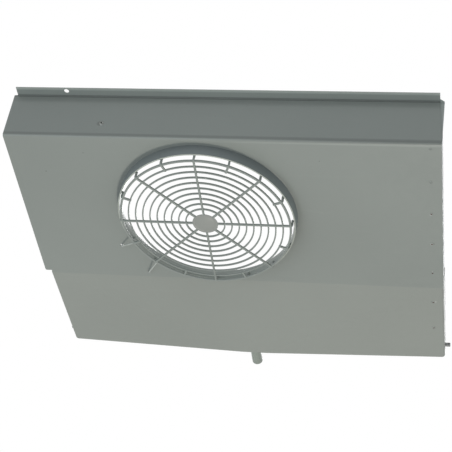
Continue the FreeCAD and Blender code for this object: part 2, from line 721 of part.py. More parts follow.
def make_pan_rail(label, side):
    """Angle along a side wall of the pan: its foot follows the sloping floor."""
    body = new_body(label)
    wall_x = PAN_SIDES[1] - THICK - S["SeatGap"] if side > 0 else PAN_SIDES[0] + THICK + S["SeatGap"]
    inner_x = wall_x - S["RailFoot"] * side
    front = PAN_FRONT + THICK + S["PanRailFront"]
    rear = PAN_REAR - THICK - S["PanRailRear"]
    top = PAN_TOP - S["PanRailBelowTop"]
    slopes = (CROSS_SLOPE * side, SIDE_SLOPE)
    under = THICK + S["SeatGap"]
    foot = new_sketch(body, "foot_outline", "XY_Plane", DECK_FACE)
    closed_outline(foot, [(wall_x, front), (wall_x, rear), (inner_x, rear), (inner_x, front)])
    pad(body, foot, "foot_block", S["PanWallRise"])
    plane_cut(body, "foot_under", facet_point(side, front, under), slopes)
    plane_cut(body, "foot_over", facet_point(side, front, under + THICK), slopes, True)
    start_x = wall_x - THICK if side > 0 else wall_x
    wall = new_sketch(body, "wall_outline", "YZ_Plane", start_x)
    middle = under + THICK / 2
    ends = [(y, facet_z(size(0), y) + middle * FACET_LEAN) for y in (front, rear)]
    closed_outline(wall, [ends[0], ends[1], (rear, top), (front, top)])
    pad(body, wall, "wall", THICK)

    def sloping(x):
        def wanted(edge):
            points = [vertex.Point for vertex in edge.Vertexes]
            if len(points) != 2 or abs(points[0].y - points[1].y) < 1:
                return False
            return all(abs(point.x - x.number) < 0.01 and point.z < top.number - 1
                       for point in points)
        return wanted

    round_edges(body, "inside_bend", sloping(wall_x - THICK * side), S["BendInside"])
    round_edges(body, "outside_bend", sloping(wall_x), S["BendInside"] + THICK)
    if side > 0:
        holes = new_sketch(body, "foot_holes", "XY_Plane", DECK_FACE)
        for y in pan_rivet_ys:
            faceted_hole(holes, rivet_x, y, rivet_hole + S["RivetClear"])
        cut_through(body, holes, "foot_hole_cuts", S["PanWallRise"])
    pins = new_sketch(body, "pin_hole", "YZ_Plane", wall_x)
    circle(pins, PIN_Y, PIN_Z, PIN_BODY + S["PinClear"])
    cut_through(body, pins, "pin_hole_cut", THICK * 4)
    return body


# ----------------------------------------------------------- turned small parts

def turned(label, points, base, axis, angle):
    """A body of revolution about its own Z axis, then placed."""
    body = new_body(label)
    sketch = new_sketch(body, label + "_section", "XZ_Plane")
    closed_outline(sketch, points)
    revolve(body, sketch, label + "_turned", "Z_Axis")
    place(body, "Placement", base, axis, angle)
    return body


def make_drain_stub():
    """Pipe through the pan's rear wall, just clear of the floor, swelled in the hole."""
    length = S["OutletInside"] + THICK + S["OutletReach"]
    swelled = S["OutletInside"] + THICK + S["ShoulderProud"]
    start_y = PAN_REAR - THICK - S["OutletInside"]
    section = [(S["OutletBore"], 0), (OUTLET_BODY, 0), (OUTLET_BODY, swelled),
               (S["OutletRadius"], swelled), (S["OutletRadius"], length),
               (S["OutletBore"], length)]
    return turned("drain_stub", section, (PAN_CENTRE, start_y, OUTLET_Z), (1, 0, 0), -90)


def stepped(label, steps, base, axis, angle):
    """Steps along Z in one piece, then placed. Each step is its number of sides, the
    radius to its corners, and its two ends; round without a number of sides."""
    pieces = []
    for number, (sides, radius, low, high) in enumerate(steps, 1):
        kind = "Part::Prism" if sides else "Part::Cylinder"
        step = doc.addObject(kind, "%s_step_%d" % (label, number))
        if sides:
            step.Polygon = sides
        bind(step, "Circumradius" if sides else "Radius", radius)
        bind(step, "Height", high - low)
        place(step, "Placement", (0, 0, low), (0, 0, 1), 0)
        pieces.append(step)
    whole = doc.addObject("Part::MultiFuse", label)
    whole.Label = label
    whole.Shapes = pieces
    place(whole, "Placement", base, axis, angle)
    return whole


def make_hinge_pin(label, side):
    """Hexagon-headed pin from inside the pan rail, its shoulder through rail and wall."""
    grip = S["HeadGap"] + THICK * 2 + S["SeatGap"]
    shoulder = grip + S["ShoulderProud"]
    steps = [(6, S["PinHeadRadius"], -S["PinHeadThick"], size(0)),
             (None, PIN_BODY, size(0), shoulder),
             (None, S["PinRadius"], shoulder, grip + S["PinReach"])]
    x = PAN_SIDES[1] - grip if side > 0 else PAN_SIDES[0] + grip
    return stepped(label, steps, (x, PIN_Y, PIN_Z), (0, 1, 0), 90 * side)


def headed(head, rise, shank, reach):
    """Steps of a rivet or screw: a low head just below its seat, and the shank."""
    seat = -S["HeadGap"]
    return [(RIVET_SIDES, head, seat - rise, seat), (RIVET_SIDES, shank, seat, reach)]


def rivet(label, stack, base, axis, angle):
    steps = headed(S["RivetHeadRadius"], S["RivetHeadRise"], S["RivetRadius"],
                   stack + S["RivetTail"])
    return stepped(label, steps, base, axis, angle)


def group(label, pieces):
    bundle = doc.addObject("Part::Compound", label)
    bundle.Label = label
    bundle.Links = pieces
    return bundle


def make_rivets():
    lap = THICK * 2 + S["SeatGap"]
    deck = [rivet("deck_rivet_%d" % i, lap, (rivet_x, y, DECK_FACE), (0, 0, 1), 0)
            for i, y in enumerate(deck_rivet_ys, 1)]
    axis, tilt = facet_tilt(CROSS_SLOPE, SIDE_SLOPE)
    pan = [rivet("pan_rivet_%d" % i, lap,
                 (rivet_x, y, facet_z(S["RivetInset"], y)), axis, tilt)
           for i, y in enumerate(pan_rivet_ys, 1)]
    seam = [rivet("seam_rivet_%d" % i, THICK * 2 + S["SeamGap"],
                  (x, DECK_REAR - THICK, seam_rivet_z), (1, 0, 0), -90)
            for i, x in enumerate(seam_rivet_xs, 1)]
    return [group("rivets_deck_right", deck), group("rivets_pan_right", pan),
            group("rivets_seam", seam)]


def make_apron_screw():
    seat_y = -DECK_FRONT - S["ScrewRise"] * S["ApronRun"] / S["ApronRise"]
    into = -arc_cosine(S["ApronRun"] / APRON_LENGTH)
    steps = headed(S["ScrewHeadRadius"], S["ScrewHeadRise"], S["ScrewRadius"], S["ScrewLength"])
    return stepped("apron_screw", steps, (screw_x, seat_y, DECK_FACE + S["ScrewRise"]),
                   (1, 0, 0), into)


# ------------------------------------------------------------------ wire guard

def wire_path(sketch, points):
    """Straight runs from each point to the next."""
    points = [(size(x), size(y)) for x, y in points]
    places = [Vector(x.number, y.number, 0) for x, y in points]
    for start, end in zip(places, places[1:]):
        sketch.addGeometry(Part.LineSegment(start, end), False)
    for run in range(1, len(points) - 1):
        sketch.addConstraint(Sketcher.Constraint("Coincident", run - 1, 2, run, 1))
    for run, (x, y) in enumerate(points[:-1]):
        fix_point(sketch, run, 1, x, y)
    fix_point(sketch, len(points) - 2, 2, *points[-1])


def bent_wire(label, start, corner, end, base, yaw):
    """Wire in the upright plane through its base at a yaw: from an upright end at
    start, down to the corner and off to the end."""
    body = new_body(label)
    half = S["SpokeWireRadius"]
    section = new_sketch(body, label + "_section", "XY_Plane", start[1])
    inner, outer = start[0] - half, start[0] + half
    closed_outline(section, [(inner, -half), (outer, -half), (outer, half), (inner, half)])
    path = new_sketch(body, label + "_path", "XZ_Plane")
    wire_path(path, (start, corner, end))
    pipe = body.newObject("PartDesign::AdditivePipe", label + "_wire")
    pipe.Profile = section
    pipe.Spine = (path, ["Edge1", "Edge2"])
    pipe.Transition = "Right corner"
    place(body, "Placement", base, (0, 0, 1), yaw)
    return body


def faceted_disc(name, corner, thick, level):
    """Flat-sided disc of a thickness, its corners on a circle, centred at a level."""
    disc = doc.addObject("Part::Prism", name)
    disc.Polygon = RING_SIDES
    bind(disc, "Circumradius", corner)
    bind(disc, "Height", thick)
    place(disc, "Placement", (0, 0, level - thick / 2), (0, 0, 1), 0)
    return disc


def make_guard_rings():
    wire = S["RingWireRadius"]
    rings = []
    for k in range(RINGS):
        name = "ring_%d" % (k + 1)
        radius = FIRST_RING + RING_PITCH * k
        ring = doc.addObject("Part::Cut", name)
        ring.Base = faceted_disc(name + "_outside", radius + wire, wire * 2, RING_LEVEL)
        ring.Tool = faceted_disc(name + "_inside", radius - wire, wire * 2, RING_LEVEL)
        rings.append(ring)
    return group("guard_rings", rings)


def make_guard_hub():
    hub = faceted_disc("guard_hub", S["HubRadius"], S["HubThick"], SPOKE_LEVEL)
    hub.Label = "guard_hub"
    return hub


def radial_wire(label, inner_end, yaw):
    """Wire under the rings from an inner end, turned up inside the collar."""
    return bent_wire(label, (HOOK_RADIUS, HOOK_TOP), (HOOK_RADIUS, SPOKE_LEVEL),
                     (inner_end, SPOKE_LEVEL), (0, 0, 0), yaw)


def make_guard_leg(label, leg, hole):
    """Stay from the outer ring, beside a radial wire, up into its hole in the deck."""
    turn = math.radians(leg["spoke"])
    out_x, out_y = math.cos(turn), math.sin(turn)
    aside = S["LegBesideSpoke"]
    foot_x = OUTER_RING * out_x + aside * out_y
    foot_y = OUTER_RING * out_y - aside * out_x
    across, along = hole[0] - foot_x, hole[1] - foot_y
    reach = root(across * across + along * along)
    corner_z = DECK_FACE - S["LegDrop"]
    start = (reach, DECK_TOP + S["LegHook"])
    foot = (size(0), RING_LEVEL + S["LegAboveRing"])
    return bent_wire(label, start, (reach, corner_z), foot, (foot_x, foot_y, 0),
                     heading(across, along))


# --------------------------------------------------------------- build and write

nodes = [
    make_fan_deck(),
    make_side_rail("right_side_rail", 1),
    make_side_rail("left_side_rail", -1),
    make_drain_pan(),
    make_pan_rail("right_pan_rail", 1),
    make_pan_rail("left_pan_rail", -1),
    make_drain_stub(),
    make_hinge_pin("hinge_pin_right", 1),
    make_hinge_pin("hinge_pin_left", -1),
    make_apron_screw(),
]
nodes += make_rivets()
nodes += [make_guard_hub(), make_guard_rings()]
step = 360.0 / SPOKES
for k in range(SPOKES):
    inner = S["HubRadius"] + S["SeatGap"]
    nodes.append(radial_wire("guard_spoke_%d" % (k + 1), inner, step * k))
for k in range(SPOKES):
    inner = OUTER_RING - RING_PITCH - S["StubOverlap"]
    nodes.append(radial_wire("guard_stub_%d" % (k + 1), inner, step * (k + 0.5)))
nodes.append(make_guard_leg("guard_leg_rear", REAR_LEG, rear_leg_hole))
nodes.append(make_guard_leg("guard_leg_side", SIDE_LEG, side_leg_hole))
doc.recompute()

for item in doc.Objects:
    if "Invalid" in item.State or "Error" in item.State:
        raise RuntimeError("%s does not build" % item.Name)
for node in nodes:
    if node.Shape.isNull() or not node.Shape.isValid() or not node.Shape.Solids:
        raise RuntimeError("%s has no sound solid" % node.Label)
for node in nodes:
    node.Shape.exportStep("parts/%s.step" % node.Label)
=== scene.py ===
import bmesh
import bpy
import json
import math
import numpy as np
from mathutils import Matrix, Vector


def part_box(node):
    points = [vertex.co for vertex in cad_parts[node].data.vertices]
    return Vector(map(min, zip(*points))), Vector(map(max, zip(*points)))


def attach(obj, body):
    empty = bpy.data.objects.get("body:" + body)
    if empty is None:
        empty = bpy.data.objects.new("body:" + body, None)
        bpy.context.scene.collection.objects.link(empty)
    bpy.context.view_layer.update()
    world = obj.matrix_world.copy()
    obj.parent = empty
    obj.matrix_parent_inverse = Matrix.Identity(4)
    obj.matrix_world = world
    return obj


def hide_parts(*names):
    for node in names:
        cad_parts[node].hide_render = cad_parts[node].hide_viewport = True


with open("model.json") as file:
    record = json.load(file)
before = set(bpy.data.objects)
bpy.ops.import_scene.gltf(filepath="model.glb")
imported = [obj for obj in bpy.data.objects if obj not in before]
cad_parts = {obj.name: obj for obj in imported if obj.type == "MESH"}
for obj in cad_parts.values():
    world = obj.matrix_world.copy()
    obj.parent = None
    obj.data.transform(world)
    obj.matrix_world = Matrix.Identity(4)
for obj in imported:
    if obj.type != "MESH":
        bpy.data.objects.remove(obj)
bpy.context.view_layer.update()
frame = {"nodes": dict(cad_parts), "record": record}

# Looks of the bottom tray of a slim ceiling air cooler: a folded deck with a pressed fan
# collar and a wire guard, and the drain pan behind it. Metres throughout: X to the right,
# Y to the rear, Z up into the cooler, with the fan's axis along Z through the origin.
MM = 0.001

# ------------------------------------------------------------------- sizes of the deck

THICK = 1.2 * MM
BEND_OUTSIDE = 3.7 * MM
HEAD_GAP = 0.05 * MM            # under the heads of the rivets and the screw
SEAT_GAP = 0.1 * MM             # between two sheets that lie on each other

deck_low, deck_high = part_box("fan_deck")
rail_low, rail_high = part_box("right_side_rail")
DECK_LEFT = deck_low.x
DECK_RIGHT = deck_high.x
DECK_REAR = deck_high.y
DECK_FACE = rail_low.z - SEAT_GAP - THICK       # lower face of the level deck
CORNER_RADIUS = 6 * MM
UPSTAND_TOP = DECK_FACE + 20 * MM
DECK_BOW = 0.35 * MM

FLANGE_DEPTH = 20 * MM
FLANGE_TRIM = 7 * MM            # by how much the flange starts right of the deck's left end
APRON_RUN = 11 * MM             # how far the apron leans forward
APRON_TRIM = 8 * MM             # by how much its right end is shorter at the top
APRON_TOP = deck_high.z - THICK
APRON_RISE = APRON_TOP - DECK_FACE
APRON_SLOPE = APRON_RUN / APRON_RISE
DECK_FRONT = deck_low.y + FLANGE_DEPTH + APRON_RUN
CREASE_Y = DECK_FRONT - APRON_RUN
FLANGE_EDGE = CREASE_Y - FLANGE_DEPTH
FOLD_RADIUS = 5.2 * MM          # soft fold between deck and apron
FLANGE_CREASE = 0.9 * MM        # crisp one between apron and flange
FLAT_FRONT = DECK_FRONT + 5.9 * MM              # where the level deck ends at the front
FLAT_REAR = DECK_REAR - CORNER_RADIUS           # and at the rear

throat_mount, fixing_mount = frame["record"]["mounts"][:2]
THROAT_RADIUS = throat_mount["dims"]["r_mm"] * MM
THROAT_LAND = throat_mount["dims"]["length_mm"] * MM
THROAT_FOOT = -THROAT_LAND / 2
THROAT_HEAD = THROAT_LAND / 2
THROAT_OUTSIDE = THROAT_RADIUS + THICK
RIM_FACE = deck_low.z
RIM_INSIDE = THROAT_RADIUS + 2.2 * MM
RIM_OUTSIDE = RIM_INSIDE + 0.967 * THICK        # one sheet square off the flared lip
RIM_BACK = RIM_FACE + 0.256 * THICK
COLLAR_BASE = THROAT_RADIUS + 7.8 * MM
COLLAR_EDGE = COLLAR_BASE + 3 * MM
WALL_BASE = COLLAR_BASE - 1.8 * MM              # foot of the collar's outer cone
FIXING_HOLE = 4.5 * MM

# -------------------------------------------------------------- sizes of the drain pan

pan_low, pan_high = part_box("drain_pan")
PAN_FALL = 13.5 * MM
PAN_CORNER_RISE = 17.5 * MM
SUMP_HALF = 20 * MM
CREASE_INSET = 12 * MM
PAN_DEPTH = pan_high.y - pan_low.y
CROSS_SLOPE = PAN_FALL / ((pan_high.x - pan_low.x) / 2 - SUMP_HALF)
SIDE_SLOPE = (PAN_CORNER_RISE - CROSS_SLOPE * CREASE_INSET) / PAN_DEPTH
FRONT_SLOPE = (PAN_CORNER_RISE - PAN_FALL) / PAN_DEPTH


def facet_height(x, y):
    """Height of the pan's right floor facet, lower face: a plane that rises to the rear
    and falls towards the outlet."""
    return DECK_FACE + (y - pan_low.y) * SIDE_SLOPE - (pan_high.x - x - CREASE_INSET) * CROSS_SLOPE


# ------------------------------------------------------------ sizes of the wire guard

RINGS = 10
SPOKES = 8
SPOKE_STEP = 2 * math.pi / SPOKES
SPOKE_WIRE = 1.5 * MM           # half the bare wire
SPOKE_HALF = SPOKE_WIRE + 0.55 * MM             # half of it with its coating
SPOKE_BEND = 3.2 * MM
WELD_SINK = 1.3 * MM            # how far spokes and hub are welded up into the rings
WELD_LAP = 2 * MM
HOOK_RADIUS = THROAT_RADIUS - 0.8 * MM
HOOK_TOP = THROAT_FOOT - 3.0 * MM
SOFT_SQUARE = 0.6               # power that gives a wire its soft square section

ring_low, ring_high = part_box("guard_rings")
hub_low, hub_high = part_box("guard_hub")
RING_WIRE = (ring_high.z - ring_low.z) / 2
RING_WIDE = RING_WIRE + 0.2 * MM
RING_TALL = RING_WIRE + 0.7 * MM
RING_LEVEL = (ring_high.z + ring_low.z) / 2
SPOKE_LEVEL = (hub_high.z + hub_low.z) / 2
HUB_RADIUS = hub_high.x
HUB_LIP = 0.9 * MM
OUTER_RING = ring_high.x - RING_WIRE
FIRST_RING = HUB_RADIUS + 12.2 * MM
RING_PITCH = (OUTER_RING - FIRST_RING) / (RINGS - 1)

LEG_HOLE = 3 * MM
LEG_WIRE = SPOKE_WIRE * 0.85
LEG_BEND = 3.5 * MM
LEG_BESIDE_SPOKE = 3.8 * MM
LEG_ABOVE_RING = 3.5 * MM
LEG_BELOW_DECK = 3 * MM
LEG_THROUGH = 5 * MM
LEGS = {
    "guard_leg_rear": {"spoke": 135.0, "hole": 128.9, "reach": 57.0 * MM},
    "guard_leg_side": {"spoke": 157.5, "hole": 150.9, "reach": 41.2 * MM},
}


def leg_hole(leg):
    """Where a leg goes through the deck, on its own ray from the fan axis."""
    angle = math.radians(leg["hole"])
    return (COLLAR_BASE + leg["reach"]) * np.array([math.cos(angle), math.sin(angle)])


# ------------------------------------------------------------- sizes of the fasteners

DECK_RIVETS = 5
SEAM_RIVETS = 4
PAN_RIVETS = 2
RIVET_HEAD = 3.25 * MM
RIVET_RISE = 1.2 * MM
RIVET_SHANK = 1.6 * MM
RIVET_PIT = 1.45 * MM
RIVET_REACH = 2 * THICK + 2.1 * MM
SCREW_HEAD = 4.5 * MM
SCREW_RISE = 2.4 * MM
SCREW_SHANK = 2 * MM
SCREW_REACH = 12 * MM
SCREW_RECESS = 1.7 * MM
SCREW_UP = 31 * MM              # up the apron from the deck


def between(low, high, count):
    """Middles of evenly spaced rivets whose heads reach from low to high."""
    return np.linspace(low + RIVET_HEAD, high - RIVET_HEAD, count)


low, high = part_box("rivets_deck_right")
RIVET_X = (low.x + high.x) / 2
deck_seats = [(RIVET_X, y, DECK_FACE) for y in between(low.y, high.y, DECK_RIVETS)]
low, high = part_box("rivets_seam")
SEAM_RIVET_Z = (low.z + high.z) / 2
seam_seats = [(x, DECK_REAR - THICK, SEAM_RIVET_Z)
              for x in between(low.x, high.x, SEAM_RIVETS)]
low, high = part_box("rivets_pan_right")
pan_seats = [(RIVET_X, y, facet_height(RIVET_X, y))
             for y in between(low.y, high.y, PAN_RIVETS)]
low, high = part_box("apron_screw")
screw_seat = ((low.x + high.x) / 2, DECK_FRONT - SCREW_UP * APRON_SLOPE, DECK_FACE + SCREW_UP)

# ------------------------------------------------------------------------ mesh helpers


def unit(vectors):
    """Each vector divided by its own length."""
    return vectors / np.linalg.norm(vectors, axis=-1, keepdims=True)


def rounded(corners, radii, steps=6):
    """Polyline through 2-D corners. Each inner corner gives way to an arc of its radius
    that touches both runs; the centre lies on the bisector, at radius / sin(half angle)."""
    corners = np.asarray(corners, float)
    points = [corners[:1]]
    for before, corner, after, radius in zip(corners, corners[1:], corners[2:], radii):
        back, on = unit(before - corner), unit(after - corner)
        half = math.acos(np.clip(back @ on, -1, 1)) / 2
        centre = corner + unit(back + on) * radius / math.sin(half)
        start = corner + back * radius / math.tan(half) - centre
        end = corner + on * radius / math.tan(half) - centre
        turn = math.atan2(start[0] * end[1] - start[1] * end[0], start @ end)
        angle = np.linspace(0, turn, steps + 1)[:, None]
        square = np.array([-start[1], start[0]])
        points.append(centre + np.cos(angle) * start + np.sin(angle) * square)
    points.append(corners[-1:])
    return np.concatenate(points)


def grid_quads(rows, columns, wrap):
    """Quads between neighbouring rows and columns; wrap joins the last column to the first."""
    index = np.arange(rows * columns).reshape(rows, columns)
    if wrap:
        index = np.concatenate([index, index[:, :1]], axis=1)
    corners = [index[:-1, :-1], index[:-1, 1:], index[1:, 1:], index[1:, :-1]]
    return np.stack(corners, axis=-1).reshape(-1, 4)


def make_piece(name, patches, materials, replaced, sharp=35, marks=None):
    """One object from grids of points. Each patch is (points[rows, columns, 3], wrap);
    equal points are welded, which also closes poles. marks gives a material per patch.
    replaced names the CAD nodes whose place it takes, and is empty for a piece that is
    only added; None leaves the piece off the body."""
    points, quads, indices, start = [], [], [], 0
    for number, (grid, wrap) in enumerate(patches):
        rows, columns = grid.shape[:2]
        faces = grid_quads(rows, columns, wrap) + start
        points.append(grid.reshape(-1, 3))
        quads.append(faces)
        indices.append(np.full(len(faces), marks[number] if marks else 0))
        start += rows * columns
    mesh = bpy.data.meshes.new(name)
    mesh.from_pydata(np.concatenate(points).tolist(), [], np.concatenate(quads).tolist())
    mesh.polygons.foreach_set("material_index", np.concatenate(indices).astype(np.int32))
    form = bmesh.new()
    form.from_mesh(mesh)
    bmesh.ops.remove_doubles(form, verts=form.verts, dist=0.002 * MM)
    if all(edge.is_manifold for edge in form.edges):
        bmesh.ops.recalc_face_normals(form, faces=form.faces)
    form.to_mesh(mesh)
    form.free()
    for material in materials:
        mesh.materials.append(material)
    piece = bpy.data.objects.new(name, mesh)
    bpy.context.scene.collection.objects.link(piece)
    smooth(piece, sharp)
    if replaced is not None:
        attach(piece, "root")
    if replaced:
        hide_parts(*replaced)
    return piece


def smooth(piece, sharp):
    """Smooth shading, with edges sharper than the angle left crisp."""
    mesh = piece.data
    mesh.polygons.foreach_set("use_smooth", np.ones(len(mesh.polygons), bool))
    mesh.set_sharp_from_angle(angle=math.radians(sharp))


def settle(piece, sharp=35):
    """Applies the piece's modifiers to its mesh."""
    bpy.context.view_layer.update()
    ready = piece.evaluated_get(bpy.context.evaluated_depsgraph_get())
    mesh = bpy.data.meshes.new_from_object(ready)
    piece.modifiers.clear()
    piece.data = mesh
    smooth(piece, sharp)


def turned(profile, count, axis=(0, 0, 1), base=(0, 0, 0)):
    """Surface of revolution: each (radius, height) of the profile goes round the axis,
    and the height runs along it from the base."""
    profile = np.asarray(profile, float)
    axis = unit(np.array(axis, float))
    helper = np.array([1.0, 0, 0]) if abs(axis[0]) < 0.9 else np.array([0, 1.0, 0])
    across = unit(np.cross(axis, helper))
    along = np.cross(axis, across)
    angle = np.linspace(0, 2 * math.pi, count, endpoint=False)[None, :, None]
    radius, height = profile[:, :1, None], profile[:, 1:, None]
    points = radius * (np.cos(angle) * across + np.sin(angle) * along) + height * axis
    return points + np.array(base, float), True


def squared(value, power):
    """Keeps the sign and raises the size to a power: 1 gives a circle, 0.5 a soft square."""
    return np.sign(value) * np.abs(value) ** power


def tube(path, radius, side, power=1.0, count=16, chamfer=0.25):
    """Wire: a section carried along the path, square to it, with one half of each section
    along the fixed side direction. The section is a circle, or squarer with a lower power
    of its cosine and sine. Both ends close through a small chamfer."""
    tangent = unit(np.gradient(path, axis=0))
    lead, tail = tangent[0] * chamfer * radius, tangent[-1] * chamfer * radius
    ends = [path[:1], path[:1], path[:1] + lead]
    path = np.concatenate(ends + [path[1:-1], path[-1:] - tail, path[-1:], path[-1:]])
    tangent = np.concatenate([tangent[:1].repeat(2, 0), tangent, tangent[-1:].repeat(2, 0)])
    radii = np.full(len(path), radius)
    radii[[0, -1]] = 0
    radii[[1, -2]] = radius * (1 - chamfer)
    side = np.array(side, float)
    other = np.cross(tangent, side)
    angle = np.linspace(0, 2 * math.pi, count, endpoint=False)[None, :, None]
    section = (squared(np.cos(angle), power) * side
               + squared(np.sin(angle), power) * other[:, None, :])
    return path[:, None, :] + radii[:, None, None] * section, True


def ring(radius, level, wide, tall, power, around=180, sides=16):
    """A ring: a soft square section carried round a circle about the fan axis. Its reach
    and height follow a power of the section angle's cosine and sine."""
    u = np.linspace(0, 2 * math.pi, around, endpoint=False)[:, None]
    v = np.linspace(0, 2 * math.pi, sides, endpoint=False)[None, :]
    reach = radius + wide * squared(np.cos(v), power)
    height = np.broadcast_to(level + tall * squared(np.sin(v), power), (around, sides))
    grid = np.stack([reach * np.cos(u), reach * np.sin(u), height], -1)
    return np.concatenate([grid, grid[:1]]), True


def block(first, last):
    """Closed body between two like outlines of 3-D points, straight from one to the other.
    Each end closes onto the mean of its outline."""
    caps = [np.repeat(face.mean(0, keepdims=True), len(face), 0) for face in (first, last)]
    return np.stack([caps[0], first, last, caps[1]]), True


# --------------------------------------------------------------------- material helpers


def add_node(tree, kind, settings=None, **inputs):
    """A shader node: settings are its properties, inputs are values or linked sockets.
    An input called i0 or i1 goes by its number, and any other by its name."""
    made = tree.nodes.new(kind)
    for name, value in (settings or {}).items():
        setattr(made, name, value)
    for name, value in inputs.items():
        key = int(name[1:]) if name[0] == "i" and name[1:].isdigit() else name.replace("_", " ")
        if isinstance(value, bpy.types.NodeSocket):
            tree.links.new(value, made.inputs[key])
        else:
            made.inputs[key].default_value = value
    return made


def noise(tree, coords, scale, detail=3.0, roughness=0.5):
    """Cloudy value about 0.5, with so many features to the metre."""
    made = add_node(tree, "ShaderNodeTexNoise", Vector=coords, Scale=scale, Detail=detail,
                    Roughness=roughness)
    return made.outputs["Fac"]


def remap(tree, value, low, high, out_low, out_high):
    """Straight-line remap of a value, clamped to the new range."""
    made = add_node(tree, "ShaderNodeMapRange", Value=value, From_Min=low, From_Max=high,
                    To_Min=out_low, To_Max=out_high)
    return made.outputs["Result"]


def mix(tree, factor, first, second, blend="MIX"):
    """Blends two colours or sockets: the first at factor 0, the second, or its product
    with the first where blend is MULTIPLY, at factor 1."""
    made = add_node(tree, "ShaderNodeMix", {"data_type": "RGBA", "blend_type": blend},
                    Factor=factor)
    for socket, value in zip((made.inputs[6], made.inputs[7]), (first, second)):
        if isinstance(value, bpy.types.NodeSocket):
            tree.links.new(value, socket)
        else:
            socket.default_value = (*value, 1)
    return made.outputs[2]


def grey(value):
    """The same level for red, green and blue."""
    return (value, value, value)


def vector_math(tree, operation, first, second=None):
    """Vector Math node with one or two inputs."""
    inputs = {"i0": first} if second is None else {"i0": first, "i1": second}
    return add_node(tree, "ShaderNodeVectorMath", {"operation": operation}, **inputs)


def axis_value(tree, coords, axis):
    """X, Y or Z of a point, or its distance from the fan's axis."""
    if axis in "XYZ":
        return add_node(tree, "ShaderNodeSeparateXYZ", Vector=coords).outputs[axis]
    level = vector_math(tree, "MULTIPLY", coords, (1, 1, 0)).outputs[0]
    return vector_math(tree, "LENGTH", level).outputs["Value"]


def add_bump(tree, shader, *layers):
    """Bumps laid over one another, each (height, strength, depth), into the normal."""
    linked = {}
    for height, strength, depth in layers:
        bump = add_node(tree, "ShaderNodeBump", Height=height, Strength=strength,
                        Distance=depth, **linked)
        linked = {"Normal": bump.outputs["Normal"]}
    tree.links.new(bump.outputs["Normal"], shader.inputs["Normal"])


def start_material(name):
    """An empty material with its shader and its object coordinates."""
    material = bpy.data.materials.new(name)
    material.use_nodes = True
    tree = material.node_tree
    shader = tree.nodes["Principled BSDF"]
    coords = add_node(tree, "ShaderNodeTexCoord").outputs["Object"]
    return material, tree, shader, coords


def linear(red, green, blue):
    """Linear light from display values out of 255."""
    values = np.array([red, green, blue]) / 255
    return tuple(np.where(values > 0.04045, ((values + 0.055) / 1.055) ** 2.4, values / 12.92))


def add_mark(tree, shade, coords, place, size, colour, strength):
    """A small round spot of another colour at a place, fading out over its rim."""
    apart = vector_math(tree, "DISTANCE", coords, place).outputs["Value"]
    mask = remap(tree, apart, size * 0.6, size * 1.3, 1, 0)
    return mix(tree, remap(tree, mask, 0, 1, 0, strength), shade, colour)


def add_band(tree, shade, coords, line_y, line_z, half, soft, factor, ends=None):
    """Multiplies a shade by a factor near a line along X: full up to half, then fading.
    With ends, the line grows from nothing at the first X to its full strength at the last."""
    flat = vector_math(tree, "MULTIPLY", coords, (0, 1, 1)).outputs[0]
    apart = vector_math(tree, "DISTANCE", flat, (0, line_y, line_z)).outputs["Value"]
    inside = remap(tree, apart, half, half + soft, 1, 0)
    if ends:
        growth = remap(tree, axis_value(tree, coords, "X"), *ends, 0, 1)
        inside = add_node(tree, "ShaderNodeMath", {"operation": "MULTIPLY"}, i0=inside,
                          i1=growth).outputs[0]
    return mix(tree, inside, shade, grey(factor), "MULTIPLY")


def add_turn(tree, shade, coords, axis, near, far, factor_near, factor_far):
    """Multiplies a shade by one factor at the near value, turning to another at the far."""
    share = remap(tree, axis_value(tree, coords, axis), near, far, 0, 1)
    factor = mix(tree, share, grey(factor_near), grey(factor_far))
    return mix(tree, 1, shade, factor, "MULTIPLY")


def painted(name, colour, marks=(), wave=0.35, rough=0.46, bands=(), turns=()):
    """Satin paint over sheet or wire: slow drift of shade, fine orange peel, a few faint
    wiped streaks, dust specks, and a slight unevenness of the sheet below. Marks, bands
    and turns are rows for add_mark, add_band and add_turn."""
    material, tree, shader, coords = start_material(name)
    base = np.array(colour)
    drift = noise(tree, coords, scale=2.2, detail=2.0)
    shade = mix(tree, remap(tree, drift, 0.35, 0.65, 0, 1), tuple(base * 0.965),
                tuple(base * 1.03))
    stretched = add_node(tree, "ShaderNodeMapping", Vector=coords, Scale=(1.5, 14, 6),
                         Rotation=(0, 0, 0.25))
    streak = noise(tree, stretched.outputs["Vector"], scale=5.0, detail=5.0, roughness=0.6)
    shade = mix(tree, remap(tree, streak, 0.6, 0.82, 0, 0.35), shade, tuple(base * 1.10))
    dust = noise(tree, coords, scale=420.0, detail=1.0)
    shade = mix(tree, remap(tree, dust, 0.70, 0.78, 0, 0.35), shade, tuple(base * 0.74))
    for mark in marks:
        shade = add_mark(tree, shade, coords, *mark)
    for band in bands:
        shade = add_band(tree, shade, coords, *band)
    for turn in turns:
        shade = add_turn(tree, shade, coords, *turn)
    tree.links.new(shade, shader.inputs["Base Color"])
    gloss = noise(tree, coords, scale=60.0, detail=4.0)
    tree.links.new(remap(tree, gloss, 0.3, 0.7, rough - 0.05, rough + 0.06),
                   shader.inputs["Roughness"])
    peel = noise(tree, coords, scale=700.0, detail=2.0)
    buckle = noise(tree, coords, scale=3.6, detail=1.0)
    add_bump(tree, shader, (peel, 0.10, 0.1 * MM), (buckle, wave, 4 * MM))
    return material


